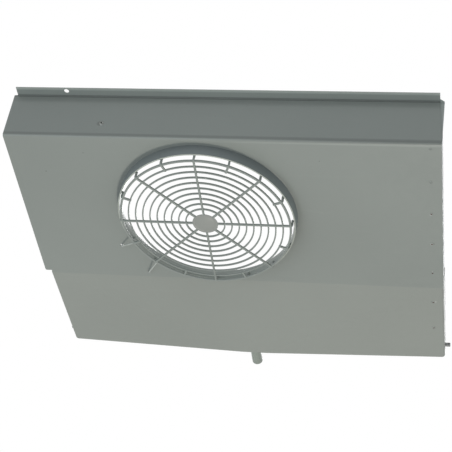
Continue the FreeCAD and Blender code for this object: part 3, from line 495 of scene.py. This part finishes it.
def bare_metal(name, colour, rough, stain):
    """Dull plated metal with cloudy dark stain and fine scratches."""
    material, tree, shader, coords = start_material(name)
    cloud = noise(tree, coords, scale=260.0, detail=4.0, roughness=0.6)
    shade = mix(tree, remap(tree, cloud, 0.42, 0.66, 0, 0.8), colour, stain)
    tree.links.new(shade, shader.inputs["Base Color"])
    shader.inputs["Metallic"].default_value = 0.85
    tree.links.new(remap(tree, cloud, 0.3, 0.7, rough, rough + 0.25), shader.inputs["Roughness"])
    scratch = noise(tree, coords, scale=1800.0, detail=2.0)
    add_bump(tree, shader, (scratch, 0.25, 0.05 * MM))
    return material


def rust(name):
    """Brown rust, matt and grainy."""
    material, tree, shader, coords = start_material(name)
    grain = noise(tree, coords, scale=900.0, detail=4.0, roughness=0.6)
    shade = mix(tree, remap(tree, grain, 0.35, 0.65, 0, 1), linear(62, 38, 30),
                linear(104, 70, 54))
    tree.links.new(shade, shader.inputs["Base Color"])
    shader.inputs["Roughness"].default_value = 0.9
    add_bump(tree, shader, (grain, 0.6, 0.2 * MM))
    return material


# ------------------------------------------------------------------- marks and materials

DARK_CHIP = linear(92, 94, 90)
PALE_CHIP = linear(178, 180, 174)


def marks_at(seats, rows, below=0.0):
    """Marks near seats. A row is the seat's number, how far the mark lies to the right and
    to the rear of it in mm, the mark's size in mm, its colour and its strength."""
    marks = []
    for number, right, back, size, colour, strength in rows:
        x, y, z = seats[number]
        marks.append(((x + right * MM, y + back * MM, z - below), size * MM, colour, strength))
    return marks


# paint chips on the deck, wear round its rivets from the third on, grime by the screw
deck_marks = [
    ((-0.294, -0.093, DECK_FACE), 1.1 * MM, DARK_CHIP, 0.9),
    ((-0.213, -0.142, DECK_FACE), 1.0 * MM, DARK_CHIP, 0.8),
    ((0.217, -0.135, DECK_FACE), 1.0 * MM, DARK_CHIP, 0.6),
]
deck_marks += marks_at(deck_seats, [
    (2, -1.0, 3.0, 2.4, PALE_CHIP, 0.6),
    (3, -0.6, 0.4, 2.6, PALE_CHIP, 0.95),
    (3, 3.6, 0.0, 1.8, DARK_CHIP, 0.4),
    (4, 0.0, -3.6, 2.0, PALE_CHIP, 0.4),
])
deck_marks += marks_at([screw_seat], [(0, -3.5, 0.0, 5.0, DARK_CHIP, 0.5)])
pan_marks = marks_at(pan_seats, [
    (0, 3.8, -0.5, 2.8, PALE_CHIP, 0.7),
    (0, -0.4, 0.0, 3.2, DARK_CHIP, 0.8),
    (1, 0.0, 0.0, 2.6, DARK_CHIP, 0.6),
    (1, -1.2, 4.2, 1.8, DARK_CHIP, 0.4),
], below=0.4 * MM)

FOLD_SHADE_RISE = 5.5 * MM
FOLD_SHADE_Y = DECK_FRONT - APRON_SLOPE * FOLD_SHADE_RISE
sheet_bands = [
    # painted shade in the flange's crease, and painted shade below it on the apron
    (CREASE_Y - 0.8 * MM, APRON_TOP, 1.8 * MM, 1.6 * MM, 0.60),
    (CREASE_Y + 1.0 * MM, APRON_TOP - 8 * MM, 3.0 * MM, 6.0 * MM, 0.88),
    # painted light: the whole flange lighter, and a painted lit strip along its edge
    (CREASE_Y - FLANGE_DEPTH / 2, APRON_TOP, FLANGE_DEPTH * 0.42, 2 * MM, 1.15),
    (FLANGE_EDGE, APRON_TOP, 4.5 * MM, 1.0 * MM, 1.35),
    # a painted shade line just above the fold
    (FOLD_SHADE_Y, DECK_FACE + FOLD_SHADE_RISE, 1.2 * MM, 3.0 * MM, 0.76),
    # painted shade along the fold, growing towards the right, and a painted highlight line just
    # behind it
    (DECK_FRONT + 0.8 * MM, DECK_FACE + 1.5 * MM, 2.0 * MM, 2.5 * MM, 0.80, (-0.05, 0.35)),
    (DECK_FRONT + 6.2 * MM, DECK_FACE, 0.8 * MM, 1.5 * MM, 1.18, (-0.05, 0.25)),
]
# painted light on the inside of the collar, and painted shade on the deck round the collar's foot
sheet_turns = [
    ("axis", RIM_INSIDE + 0.6 * MM, RIM_INSIDE + 1.6 * MM, 1.60, 1.0),
    ("axis", WALL_BASE, WALL_BASE + 10 * MM, 0.88, 1.0),
]
# painted shade on the collar's outer wall: darker at its front and up towards the deck, lighter at
# the rear and by the rim
wall_turns = [
    ("Y", -165 * MM, -60 * MM, 0.84, 1.14),
    ("Z", RIM_FACE, DECK_FACE, 1.16, 0.84),
]

sheet_paint = painted("satin_grey_sheet_paint", linear(141, 146, 140), deck_marks,
                      rough=0.36, bands=sheet_bands, turns=sheet_turns)
pan_paint = painted("satin_grey_pan_paint", linear(146, 150, 143), pan_marks)
rail_paint = painted("satin_grey_rail_paint", linear(128, 136, 133), wave=0.1)
wire_paint = painted("grey_wire_coating", linear(141, 147, 141), wave=0.0, rough=0.42)
hub_paint = painted("grey_hub_coating", linear(149, 151, 145), wave=0.1, rough=0.42)
# the tab's face lighter than the rails: painted light against the shade by the apron's edge
tab_paint = painted("grey_tab_paint", linear(160, 166, 160), wave=0.1)
# the collar's outer wall in a darker, bluer grey than the deck: painted shade
wall_paint = painted("dusty_collar_paint", linear(130, 137, 136), wave=0.1, rough=0.5,
                     turns=wall_turns)
# pale paint on the rim's rolled edge: a painted highlight
rim_paint = painted("worn_rim_paint", linear(176, 181, 172), wave=0.0, rough=0.4)
# the legs' coating lighter than the other wires: painted light on their shaded sides
leg_paint = painted("bright_leg_coating", linear(182, 187, 180), wave=0.0, rough=0.42)
pipe_paint = painted("grey_pipe_paint", linear(143, 150, 141), wave=0.0)
pin_metal = bare_metal("dull_plated_steel", linear(150, 152, 152), 0.5, linear(92, 90, 88))
screw_metal = bare_metal("pale_zinc_plate", linear(178, 181, 175), 0.4, linear(120, 122, 118))
# dark metal at the bottom of the screw's recess
recess_metal = bare_metal("grimy_recess", linear(70, 72, 70), 0.6, linear(50, 50, 48))
rivet_pit = rust("rusty_mandrel_pit")


def dress(node, material):
    """Puts one material on a CAD node that keeps its shape."""
    slots = frame["nodes"][node].data.materials
    slots.clear()
    slots.append(material)


dress("drain_pan", pan_paint)
for node in ("right_side_rail", "left_side_rail", "right_pan_rail", "left_pan_rail"):
    dress(node, rail_paint)

# ------------------------------------------------------------------ the fan deck's sheet

LONG_STEPS = 260                # points along the deck's length
SHORT_STEPS = 90                # and along its ends
DECK_ROWS = 14                  # rows from the collar out to the deck's edge


def collar_profile():
    """(radius, height) of the collar's outer face, from its rim up the flared lip and the
    throat, then out along a quarter of an ellipse into the level deck."""
    lip = rounded([(RIM_OUTSIDE, RIM_BACK), (THROAT_OUTSIDE, THROAT_FOOT),
                   (THROAT_OUTSIDE, THROAT_HEAD)], [9 * MM], 5)
    turn = np.linspace(0, math.pi / 2, 11)[1:, None]
    wide, tall = COLLAR_BASE - THROAT_OUTSIDE, DECK_FACE - THROAT_HEAD
    blend = np.concatenate([COLLAR_BASE - wide * np.cos(turn),
                            THROAT_HEAD + tall * np.sin(turn)], -1)
    return np.concatenate([lip, blend, [(COLLAR_EDGE, DECK_FACE)]])


def collar_and_deck():
    """The collar and the level deck as one grid round the fan axis. Each ray carries the
    collar's profile and runs on in a straight line to the deck's rectangular edge. Right
    of the fan the deck is bowed by a product of squared half sines."""
    xs = np.linspace(DECK_LEFT, DECK_RIGHT, LONG_STEPS)
    ys = np.linspace(FLAT_FRONT, FLAT_REAR, SHORT_STEPS)[1:-1]
    front = np.stack([xs, np.full_like(xs, FLAT_FRONT)], -1)
    right = np.stack([np.full_like(ys, DECK_RIGHT), ys], -1)
    rear = np.stack([xs[::-1], np.full_like(xs, FLAT_REAR)], -1)
    left = np.stack([np.full_like(ys, DECK_LEFT), ys[::-1]], -1)
    edge = np.concatenate([front, right, rear, left])
    ray = unit(edge)
    profile = collar_profile()
    height = np.broadcast_to(profile[:, None, 1:], (len(profile), len(ray), 1))
    collar = np.concatenate([profile[:, None, :1] * ray, height], -1)
    share = np.linspace(0, 1, DECK_ROWS + 1)[1:, None, None]
    level = COLLAR_EDGE * ray * (1 - share) + edge * share
    across = np.clip((level[..., 0] - COLLAR_EDGE) / (DECK_RIGHT - COLLAR_EDGE), 0, 1)
    along = np.clip((level[..., 1] - FLAT_FRONT) / (FLAT_REAR - FLAT_FRONT), 0, 1)
    bow = DECK_BOW * np.sin(math.pi * across) ** 2 * np.sin(math.pi * along) ** 2
    deck = np.concatenate([level, (DECK_FACE + bow)[..., None]], -1)
    return np.concatenate([collar, deck]), True


def carried_along_x(profile, start, end):
    """Grid of a (y, z) profile carried along X: each of its points draws a straight line
    from its own start to its own end."""
    share = np.linspace(0, 1, LONG_STEPS)[None, :]
    x = start[:, None] + (end - start)[:, None] * share
    y = np.broadcast_to(profile[:, :1], x.shape)
    z = np.broadcast_to(profile[:, 1:], x.shape)
    return np.stack([x, y, z], -1), False


def apron_and_flange():
    """Deck's front strip, fold, leaning apron, crease and flange. The right end leans in by
    the trim on its way up, and the flange starts a little right of the apron's left end."""
    folds = rounded([(FLAT_FRONT, DECK_FACE), (DECK_FRONT, DECK_FACE), (CREASE_Y, APRON_TOP),
                     (FLANGE_EDGE, APRON_TOP)], [FOLD_RADIUS, FLANGE_CREASE])
    y, z = folds[:, 0], folds[:, 1]
    in_flange = y < CREASE_Y - 0.5 * MM
    climb = np.clip((z - DECK_FACE - BEND_OUTSIDE) / APRON_RISE, 0, 1)
    left_end = np.where(in_flange, DECK_LEFT + FLANGE_TRIM, DECK_LEFT)
    return carried_along_x(folds, left_end, DECK_RIGHT - APRON_TRIM * climb)


def upstand():
    """Bend and wall along the deck's rear edge. The left end follows the deck's corner, a
    quarter of a circle seen from below."""
    turn_up = rounded([(FLAT_REAR, DECK_FACE), (DECK_REAR, DECK_FACE),
                       (DECK_REAR, UPSTAND_TOP)], [BEND_OUTSIDE])
    depth = turn_up[:, 0] - FLAT_REAR
    inward = CORNER_RADIUS - np.sqrt(np.maximum(CORNER_RADIUS ** 2 - depth ** 2, 0))
    return carried_along_x(turn_up, np.full(len(turn_up), DECK_RIGHT), DECK_LEFT + inward)


def make_deck():
    """The folded sheet: its outer face, a wall of one sheet's thickness, and the drilled
    holes for the fixing screw and the guard's legs."""
    deck = make_piece("fan_deck_sheet", [collar_and_deck(), apron_and_flange(), upstand()],
                      [sheet_paint], ["fan_deck"])
    wall = deck.modifiers.new("sheet thickness", "SOLIDIFY")
    wall.thickness = THICK
    wall.offset = -1
    wall.use_even_offset = True
    settle(deck)
    holes = [(fixing_mount["pos_m"], FIXING_HOLE)]
    holes += [((*leg_hole(leg), DECK_FACE), LEG_HOLE) for leg in LEGS.values()]
    reach = 4 * THICK
    drills = [turned([(0, -reach), (radius, -reach), (radius, reach), (0, reach)], 40, base=place)
              for place, radius in holes]
    bit = make_piece("drill_bits", drills, [sheet_paint], None)
    cut = deck.modifiers.new("holes", "BOOLEAN")
    cut.operation = "DIFFERENCE"
    cut.solver = "EXACT"
    cut.object = bit
    settle(deck)
    bpy.data.objects.remove(bit)


make_deck()


def make_collar_wall():
    """Plain cone outside the throat, from the rim up to a crisp corner under the deck: a
    closed section turned about the fan axis, its back just clear of the throat's sheet."""
    gap = 0.06 * MM
    wall, under_deck = THROAT_OUTSIDE + gap, DECK_FACE - gap
    rim = (RIM_OUTSIDE + gap, RIM_BACK)
    section = np.array([rim, (WALL_BASE, under_deck), (WALL_BASE - 2 * MM, under_deck),
                        (wall + 1.6 * MM, THROAT_HEAD + 2.4 * MM), (wall, THROAT_HEAD),
                        (wall, THROAT_FOOT), rim])
    make_piece("collar_outer_wall", [turned(section, 180)], [wall_paint],
               ["fan_deck"], sharp=25)


def make_rim_edge():
    """Rolled edge round the collar's rim: a small flat ring of soft square section. Its pale paint
    is a painted highlight.
    """
    rolled = ring(RIM_INSIDE + 1.2 * MM, RIM_FACE + 0.35 * MM, wide=1.3 * MM, tall=0.5 * MM,
                  power=0.8)
    make_piece("collar_rim_edge", [rolled], [rim_paint], [])


def make_seam_bead():
    """Painted sealant that fills the groove between the deck's and the pan's bends: one
    section carried along X, level with both sheets below and a wedge above."""
    skin, wedge, foot = 0.03 * MM, 3 * MM, 0.5 * MM
    near = DECK_REAR - BEND_OUTSIDE - 0.6 * MM
    far = pan_low.y + BEND_OUTSIDE + 0.6 * MM
    rise = (far - pan_low.y) * FRONT_SLOPE
    section = np.array([(near, DECK_FACE - skin), (far, DECK_FACE + rise - skin),
                        (far - 1.5 * MM, DECK_FACE + foot),
                        (DECK_REAR + 0.1 * MM, DECK_FACE + wedge),
                        (near + 1.5 * MM, DECK_FACE + foot)])
    ends = [np.concatenate([np.full((len(section), 1), x), section], -1)
            for x in (pan_low.x + 3 * MM, pan_high.x - 0.5 * MM)]
    make_piece("seam_bead", [block(*ends)], [sheet_paint], ["fan_deck"])


def make_tab_face():
    """Front skin of the right rail's tab, up to a crisp corner: a plate in the leaning
    plane of the tab; and the small diagonal web that joins it to the flange's cut end."""
    edge, top, foot = rail_high.x, deck_high.z - 0.05 * MM, rail_low.z + 5.5 * MM
    chamfer, wide = 1.0 * MM, 25 * MM
    outline = np.array([(edge, foot), (edge, top - chamfer), (edge - chamfer, top),
                        (edge - wide, top), (edge - wide, foot)])
    lean = math.hypot(1, APRON_SLOPE)
    faces = []
    for depth in (THICK + SEAT_GAP - 0.03 * MM, 2 * THICK + SEAT_GAP + 0.02 * MM):
        y = DECK_FRONT - (outline[:, 1] - DECK_FACE) * APRON_SLOPE + depth * lean
        faces.append(np.stack([outline[:, 0], y, outline[:, 1]], -1))
    outer, inner = edge - 0.3 * MM, DECK_RIGHT - APRON_TRIM - 1 * MM
    behind = CREASE_Y + 1.6 * MM
    web = np.array([(outer, behind), (outer, CREASE_Y), (inner, CREASE_Y - 6.6 * MM),
                    (inner, behind)])
    levels = [np.concatenate([web, np.full((len(web), 1), z)], -1)
              for z in (APRON_TOP + 0.05 * MM, top)]
    make_piece("rail_tab_face", [block(*faces), block(*levels)], [tab_paint],
               [])


make_collar_wall()
make_rim_edge()
make_seam_bead()
make_tab_face()

# -------------------------------------------------------------------------- the wire guard


def planted(path, yaw, base=(0, 0)):
    """Lifts a path of (reach, height) points into the upright plane at a yaw."""
    out = np.array([math.cos(yaw), math.sin(yaw)])
    flat = path[:, :1] * out + np.array(base)
    return np.concatenate([flat, path[:, 1:]], -1), (-out[1], out[0], 0)


def radial_wire(name, node, inner, yaw):
    """Wire under the rings, bent up at its outer end inside the collar."""
    level = SPOKE_LEVEL + SPOKE_HALF - SPOKE_WIRE + WELD_SINK
    corners = [(inner, level), (HOOK_RADIUS, level), (HOOK_RADIUS, HOOK_TOP)]
    path, side = planted(rounded(corners, [SPOKE_BEND], 10), yaw)
    make_piece(name, [tube(path, SPOKE_HALF, side, SOFT_SQUARE)], [wire_paint],
               [node])


def guard_leg(name, leg):
    """Stay from beside a radial wire up into its hole in the deck, bent near the deck."""
    spoke = math.radians(leg["spoke"])
    foot = OUTER_RING * np.array([math.cos(spoke), math.sin(spoke)])
    foot = foot + LEG_BESIDE_SPOKE * np.array([math.sin(spoke), -math.cos(spoke)])
    run = leg_hole(leg) - foot
    reach = float(np.linalg.norm(run))
    corners = [(0, RING_LEVEL + LEG_ABOVE_RING), (reach, DECK_FACE - LEG_BELOW_DECK),
               (reach, DECK_FACE + THICK + LEG_THROUGH)]
    path, side = planted(rounded(corners, [LEG_BEND], 10), math.atan2(run[1], run[0]), foot)
    make_piece(name + "_wire", [tube(path, LEG_WIRE, side)], [leg_paint], [name])


def make_rings():
    """The ten rings, evenly spaced. The outer one is of wider, taller wire."""
    rings = [ring(FIRST_RING + RING_PITCH * k, RING_LEVEL, RING_WIDE, RING_TALL, SOFT_SQUARE)
             for k in range(RINGS - 1)]
    rings.append(ring(OUTER_RING + 0.4 * MM, RING_LEVEL, RING_WIDE * 1.4, RING_TALL * 1.15,
                      SOFT_SQUARE))
    make_piece("wire_rings", rings, [wire_paint], ["guard_rings"])


def make_hub():
    """Pressed disc: a flat face with a shallow ring groove, and a rounded rim."""
    low, high = hub_low.z + WELD_SINK, hub_high.z + WELD_SINK
    corners = [(0, low), (HUB_RADIUS, low), (HUB_RADIUS, high), (0, high)]
    outline = rounded(corners, [HUB_LIP, HUB_LIP], 6)
    groove = np.array([(HUB_RADIUS - 6 * MM, low), (HUB_RADIUS - 5 * MM, low + 0.4 * MM),
                       (HUB_RADIUS - 4 * MM, low)])
    profile = np.concatenate([outline[:1], groove, outline[1:]])
    make_piece("pressed_hub", [turned(profile, 96)], [hub_paint], ["guard_hub"])


for k in range(SPOKES):
    radial_wire("radial_wire_%d" % (k + 1), "guard_spoke_%d" % (k + 1),
                HUB_RADIUS - WELD_LAP, SPOKE_STEP * k)
    radial_wire("short_wire_%d" % (k + 1), "guard_stub_%d" % (k + 1),
                OUTER_RING - RING_PITCH - WELD_LAP, SPOKE_STEP * (k + 0.5))
make_rings()
for name, leg in LEGS.items():
    guard_leg(name, leg)
make_hub()

# ------------------------------------------------------------ rivets, screw, pipe and pins


def dome_drop(radius, rise, at):
    """How far a low dome hangs below its seat at a radius: the rise times a power of one
    less the square of the share of its radius."""
    return rise * (1 - (at / radius) ** 2) ** 0.8 + HEAD_GAP


def head_profile(radius, rise, shank, reach, pit):
    """(radius, height) of a fastener: the dome from the edge of its pit outwards, the
    seat, and the shank above the seat with a rounded tail."""
    at = radius * np.linspace(pit / radius, 1, 9)
    dome = np.stack([at, -dome_drop(radius, rise, at)], -1)
    seat = [(radius, -HEAD_GAP), (shank, -HEAD_GAP)]
    tail = rounded([(shank, -HEAD_GAP), (shank, reach), (0, reach)], [shank * 0.45], 4)
    return np.concatenate([dome, seat, tail[1:]])


def pit_profile(radius, rise, pit):
    """The pit's floor and wall, from the pole out to where the dome starts."""
    mouth = -dome_drop(radius, rise, pit)
    floor = mouth + 0.7 * MM
    return np.array([(0, floor), (pit * 0.8, floor), (pit, mouth)])


def rivet_group(name, seats, axis, node, painted_over=0):
    """Blind rivets with domed heads, each at a seat with its shank along the axis. The
    first few can have their pits filled with paint."""
    patches, marks = [], []
    body = head_profile(RIVET_HEAD, RIVET_RISE, RIVET_SHANK, RIVET_REACH, RIVET_PIT)
    pit = pit_profile(RIVET_HEAD, RIVET_RISE, RIVET_PIT)
    for k, seat in enumerate(seats):
        patches += [turned(body, 28, axis, seat), turned(pit, 28, axis, seat)]
        marks += [0, 0 if k < painted_over else 1]
    make_piece(name, patches, [sheet_paint, rivet_pit], [node], marks=marks)


def make_screw():
    """Pan-head screw with a dark round recess, square to the leaning apron."""
    into = (0, APRON_RISE, APRON_RUN)
    body = head_profile(SCREW_HEAD, SCREW_RISE, SCREW_SHANK, SCREW_REACH, SCREW_RECESS)
    recess = pit_profile(SCREW_HEAD, SCREW_RISE, SCREW_RECESS)
    make_piece("apron_pan_head_screw",
               [turned(body, 36, into, screw_seat), turned(recess, 36, into, screw_seat)],
               [screw_metal, recess_metal], ["apron_screw"], marks=[0, 1])


def make_pipe():
    """Drain pipe: outside, a rounded cut end, and the bore back to the pan's inside. It is
    a little thicker up to where it has passed the pan's wall."""
    low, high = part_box("drain_stub")
    swollen = (high.x - low.x) / 2
    outside, bore = 10.65 * MM, 8.65 * MM
    length = high.y - low.y
    shoulder = pan_high.y + 0.3 * MM - low.y
    outline = rounded([(bore, 0), (swollen, 0), (swollen, shoulder),
                       (outside, shoulder + 0.4 * MM), (outside, length), (bore, length),
                       (bore, 0)],
                      [0.3 * MM, 0.1 * MM, 0.1 * MM, 0.7 * MM, 0.5 * MM], 5)
    base = ((low.x + high.x) / 2, low.y, (low.z + high.z) / 2)
    make_piece("drain_pipe", [turned(outline, 72, (0, 1, 0), base)], [pipe_paint],
               ["drain_stub"])


def make_pin(name, node, side):
    """Hinge pin with a chamfered tip, its shoulder through the sheet, head inside."""
    low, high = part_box(node)
    head_end, tip = (low.x, high.x) if side > 0 else (high.x, low.x)
    length = abs(tip - head_end)
    head, head_thick = 6.8 * MM, 3 * MM
    shoulder, shank = 4.3 * MM, 4 * MM
    shoulder_end = length - 9.7 * MM
    outline = rounded([(0, 0), (head, 0), (head, head_thick), (shoulder, head_thick),
                       (shoulder, shoulder_end), (shank, shoulder_end), (shank, length),
                       (0, length)],
                      [0.8 * MM, 0.6 * MM, 0.05 * MM, 0.1 * MM, 0.05 * MM, 0.8 * MM], 3)
    base = (head_end, (low.y + high.y) / 2, (low.z + high.z) / 2)
    make_piece(name, [turned(outline, 40, (side, 0, 0), base)], [pin_metal], [node])


rivet_group("deck_rivets", deck_seats, (0, 0, 1), "rivets_deck_right", painted_over=2)
rivet_group("seam_rivets", seam_seats, (0, 1, 0), "rivets_seam")
rivet_group("pan_rivets", pan_seats, (-CROSS_SLOPE, -SIDE_SLOPE, 1), "rivets_pan_right")
make_screw()
make_pipe()
make_pin("right_hinge_pin", "hinge_pin_right", 1)
make_pin("left_hinge_pin", "hinge_pin_left", -1)

# ------------------------------------------------------------------- floor, light, camera

FLOOR_LEVEL = -3.7
FLOOR_SIZE = 60.0
SKY_LIGHT = 0.43
SKY_TINT = (0.95, 1.0, 1.06)
TRAY_MIDDLE = (0.04, 0.05, 0)
CAMERA_PLACE = (0.5348, -1.8005, -1.7125)
CAMERA_TURN = (132.733, -9.140, 7.002)


def make_floor():
    """Pale matt floor far below the hanging tray, a level grid with a hardly visible cast."""
    span = np.linspace(-FLOOR_SIZE, FLOOR_SIZE, 25)
    x, y = np.meshgrid(span, span)
    grid = np.stack([x, y, np.full_like(x, FLOOR_LEVEL)], -1)
    material, tree, shader, coords = start_material("pale_floor")
    tint = mix(tree, noise(tree, coords, scale=1.5), (0.90, 0.90, 0.89), (0.93, 0.93, 0.92))
    tree.links.new(tint, shader.inputs["Base Color"])
    shader.inputs["Roughness"].default_value = 0.95
    tree.links.new(tint, shader.inputs["Emission Color"])
    seen = add_node(tree, "ShaderNodeLightPath").outputs["Is Camera Ray"]
    tree.links.new(remap(tree, seen, 0, 1, 0, 0.35), shader.inputs["Emission Strength"])
    floor = make_piece("floor", [(grid, False)], [material], None)


def make_sky():
    """Even grey light all round; white where it is looked at, mirrored or seen through."""
    world = bpy.data.worlds.new("studio")
    bpy.context.scene.world = world
    world.use_nodes = True
    tree = world.node_tree
    light = tree.nodes["Background"]
    light.inputs["Color"].default_value = (*SKY_TINT, 1)
    light.inputs["Strength"].default_value = SKY_LIGHT
    white = add_node(tree, "ShaderNodeBackground", Color=(1, 1, 1, 1), Strength=1.0)
    path = add_node(tree, "ShaderNodeLightPath")
    shown = path.outputs["Is Camera Ray"]
    for kind in ("Is Glossy Ray", "Is Transmission Ray"):
        shown = add_node(tree, "ShaderNodeMath", {"operation": "MAXIMUM"}, i0=shown,
                         i1=path.outputs[kind]).outputs[0]
    choice = add_node(tree, "ShaderNodeMixShader", i0=shown, i1=light.outputs[0],
                      i2=white.outputs[0])
    tree.links.new(choice.outputs[0], tree.nodes["World Output"].inputs["Surface"])


def make_lamp(name, place, towards, power, size, tint):
    """Soft square lamp, unseen by the camera."""
    lamp = bpy.data.lights.new(name, "AREA")
    lamp.shape = "SQUARE"
    lamp.size = size
    lamp.energy = power
    lamp.color = tint
    carrier = bpy.data.objects.new(name, lamp)
    bpy.context.scene.collection.objects.link(carrier)
    aim = np.array(towards, float) - np.array(place, float)
    carrier.location = place
    from_down = math.atan2(math.hypot(aim[0], aim[1]), -aim[2])
    carrier.rotation_euler = (from_down, 0, math.atan2(aim[1], aim[0]) - math.pi / 2)
    carrier.visible_camera = False


def make_camera():
    """Below and in front of the tray, a little to its right, looking up."""
    camera = bpy.data.cameras.new("camera")
    camera.sensor_width = 36.0
    camera.lens = 109.5
    camera.clip_end = 200.0
    camera.shift_x = -0.0010
    camera.shift_y = 0.0010
    holder = bpy.data.objects.new("camera", camera)
    bpy.context.scene.collection.objects.link(holder)
    holder.location = CAMERA_PLACE
    holder.rotation_euler = [math.radians(angle) for angle in CAMERA_TURN]
    bpy.context.scene.camera = holder


make_floor()
make_sky()
make_lamp("lamp_below", (0.65, 0.90, -3.2), TRAY_MIDDLE, power=37, size=0.3,
          tint=(1.07, 1.0, 0.92))
make_lamp("lamp_front", (-1.5, -2.0, -2.5), TRAY_MIDDLE, power=29, size=2.5,
          tint=(0.90, 1.0, 1.08))
make_lamp("lamp_above", (0.1, 2.3, 2.5), (0.04, 0.1, 0), power=70, size=2.0, tint=(1, 1, 1))
make_camera()
bpy.context.scene.view_settings.view_transform = "Standard"
